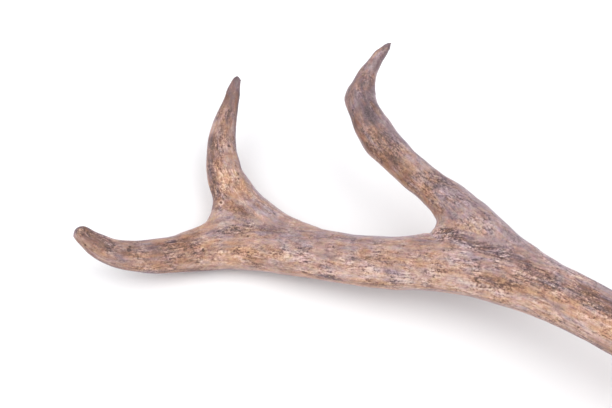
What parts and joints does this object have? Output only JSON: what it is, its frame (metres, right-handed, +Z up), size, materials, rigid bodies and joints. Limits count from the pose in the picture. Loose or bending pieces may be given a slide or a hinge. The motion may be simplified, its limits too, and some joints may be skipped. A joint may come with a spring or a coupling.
{
  "type": "deer antler",
  "caption": "Cast deer antler lying on its side: a long curved beam with a pearled burr and flat seal at its foot, a brow tine, a middle tine and a forked crown.",
  "frame": {"origin": "middle of the box round the antler, on the surface that it lies on", "axes": "+X along the beam towards the burr, +Y towards the side that the tines grow on, +Z up from the surface that it lies on"},
  "size_m": [0.5764, 0.311, 0.0709],
  "materials": {
    "antler_bone": "satin"
  },
  "bodies": {
    "root": {"lower_beam": "antler_bone", "brow_tine": "antler_bone", "middle_tine": "antler_bone", "upper_beam": "antler_bone", "crown_front_tine": "antler_bone", "crown_end_tine": "antler_bone"}
  },
  "joints": []
}
